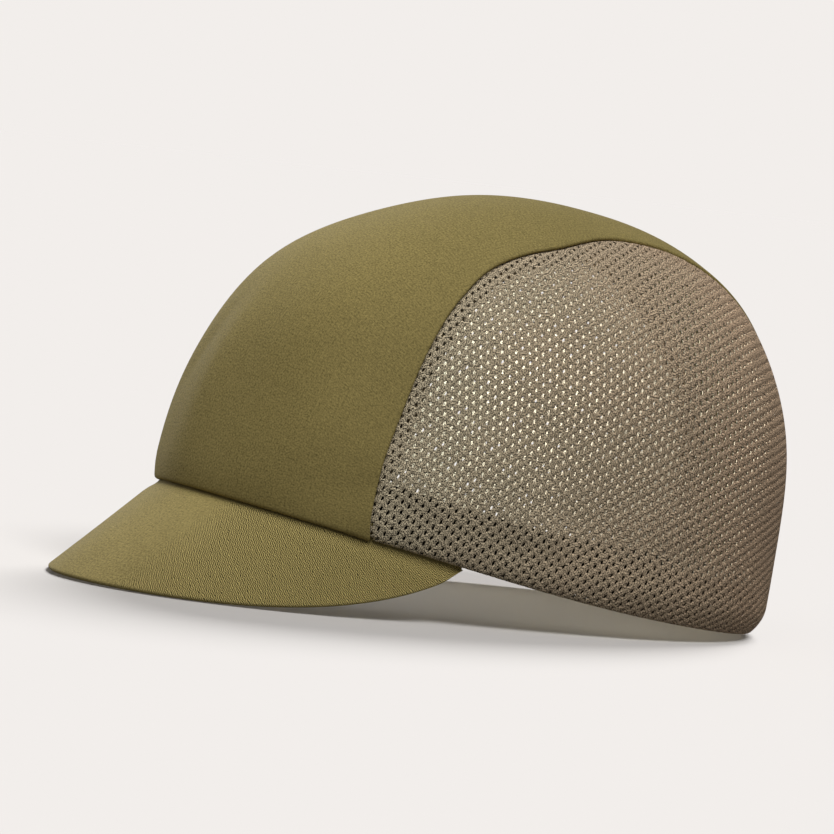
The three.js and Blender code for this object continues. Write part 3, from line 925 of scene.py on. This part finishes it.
floor_light = sum(strength * np.sin(above * deg) for _, _, above, strength in floor_lamps) / np.pi
floor_colour = (1 - floor_glow) * backdrop / (floor_light + air_light * backdrop)
floor_mesh = bpy.data.meshes.new("floor")
floor_mesh.from_pydata([(-floor_size, -floor_size, 0), (floor_size, -floor_size, 0),
                        (floor_size, floor_size, 0), (-floor_size, floor_size, 0)], [], [(0, 1, 2, 3)])
floor = bpy.data.objects.new("floor", floor_mesh)
bpy.context.scene.collection.objects.link(floor)
floor_paint = bpy.data.materials.new("pale_floor")
floor_paint.use_nodes = True
paint = floor_paint.node_tree.nodes["Principled BSDF"]
paint.inputs["Base Color"].default_value = (*floor_colour, 1)
paint.inputs["Roughness"].default_value = 1.0
paint.inputs["Specular IOR Level"].default_value = 0.0
paint.inputs["Emission Color"].default_value = (*backdrop, 1)
paint.inputs["Emission Strength"].default_value = floor_glow
floor_mesh.materials.append(floor_paint)
floor.visible_diffuse = False

# Light. Pale air all round, a wide soft lamp overhead and one to each side. The floor has two lamps of
# its own, from behind and from the left. Two small lamps inside the crown, each for the mesh on its
# other side, light it from within, so that the open holes look bright.

lamp_spread = 50 * deg
cap_lamps = (("lamp_overhead", 0, 88, 1.2), ("lamp_right", 270, 20, 1.8), ("lamp_left", 77, 50, 1.6))
inner_lamp_power = 0.078
inner_lamp_size = 0.02
inner_lamp_spread = 58 * deg
inner_lamp_colour = (0.72, 0.9, 1.0)
inner_lamp_place = np.array([0.05, 0.0, 0.07])
inner_lamp_aim = np.array([-0.07, 0.074, 0.064])

world = bpy.data.worlds.new("pale_room")
bpy.context.scene.world = world
world.use_nodes = True
room = world.node_tree
air = room.nodes["Background"]
air.inputs["Color"].default_value = (*backdrop, 1)
seen = room.nodes.new("ShaderNodeLightPath")
share = math_node(room, "ADD", math_node(room, "MULTIPLY", seen.outputs["Is Camera Ray"], 1 - air_light),
                  air_light)
room.links.new(share, air.inputs["Strength"])
bpy.context.scene.view_settings.view_transform = "Standard"


def place_item(item, place, towards, aside=None):
    """Puts a lamp or camera where it belongs, looking towards a point, with its right side along aside
    or else level."""
    away = unit(np.array(place) - np.array(towards))
    if aside is None:
        aside = unit(np.cross([0, 1.0, 0] if abs(away[2]) > 0.99 else [0, 0, 1.0], away))
    aside = unit(aside - away * (aside @ away))
    matrix = np.eye(4)
    matrix[:3] = np.stack([aside, np.cross(away, aside), away, place], -1)
    item.matrix_world = Matrix(matrix.tolist())


def new_lamp(name, kind, strength, lit):
    """Lamp that lights only the pieces named."""
    lamp = bpy.data.lights.new(name, kind)
    lamp.energy = strength
    item = bpy.data.objects.new(name, lamp)
    bpy.context.scene.collection.objects.link(item)
    item.visible_camera = False
    group = bpy.data.collections.new("lit_by_" + name)
    for piece in lit:
        group.objects.link(piece)
    item.light_linking.receiver_collection = group
    return item


cap_pieces = [piece for piece in bpy.context.scene.objects if piece.type == "MESH" and piece != floor]
for lit, lamps, spread in ((cap_pieces, cap_lamps, lamp_spread), ([floor], floor_lamps, floor_lamp_spread)):
    for name, around, above, strength in lamps:
        item = new_lamp(name, "SUN", strength, lit)
        item.data.angle = spread
        place_item(item, 3 * direction_around(around * deg, above * deg), (0, 0, 0))

for name, mirror, far_panel in (("lamp_inside_left", 1, "mesh_panel_right"),
                                ("lamp_inside_right", -1, "mesh_panel_left")):
    item = new_lamp(name, "AREA", inner_lamp_power, [bpy.data.objects[far_panel]])
    item.data.size = inner_lamp_size
    item.data.spread = inner_lamp_spread
    item.data.color = inner_lamp_colour
    flip = np.array([mirror, 1, 1])
    place_item(item, inner_lamp_place * flip, inner_lamp_aim * flip)

# Camera. It looks from the wearer's left and front, a little above the floor, turned a few degrees
# about its own line of sight as the photograph is.

camera_place = np.array([1.31602, -0.69430, 0.13760])
camera_right = np.array([0.46969, 0.87529, 0.11512])
camera_aim = np.array([-0.01035, 0.00185, 0.05582])
camera_lens = 210.1

camera_data = bpy.data.cameras.new("camera")
camera_data.lens = camera_lens
camera_data.sensor_width = 36.0
camera_data.clip_end = 100.0
camera = bpy.data.objects.new("camera", camera_data)
bpy.context.scene.collection.objects.link(camera)
bpy.context.scene.camera = camera
place_item(camera, camera_place, camera_aim, camera_right)
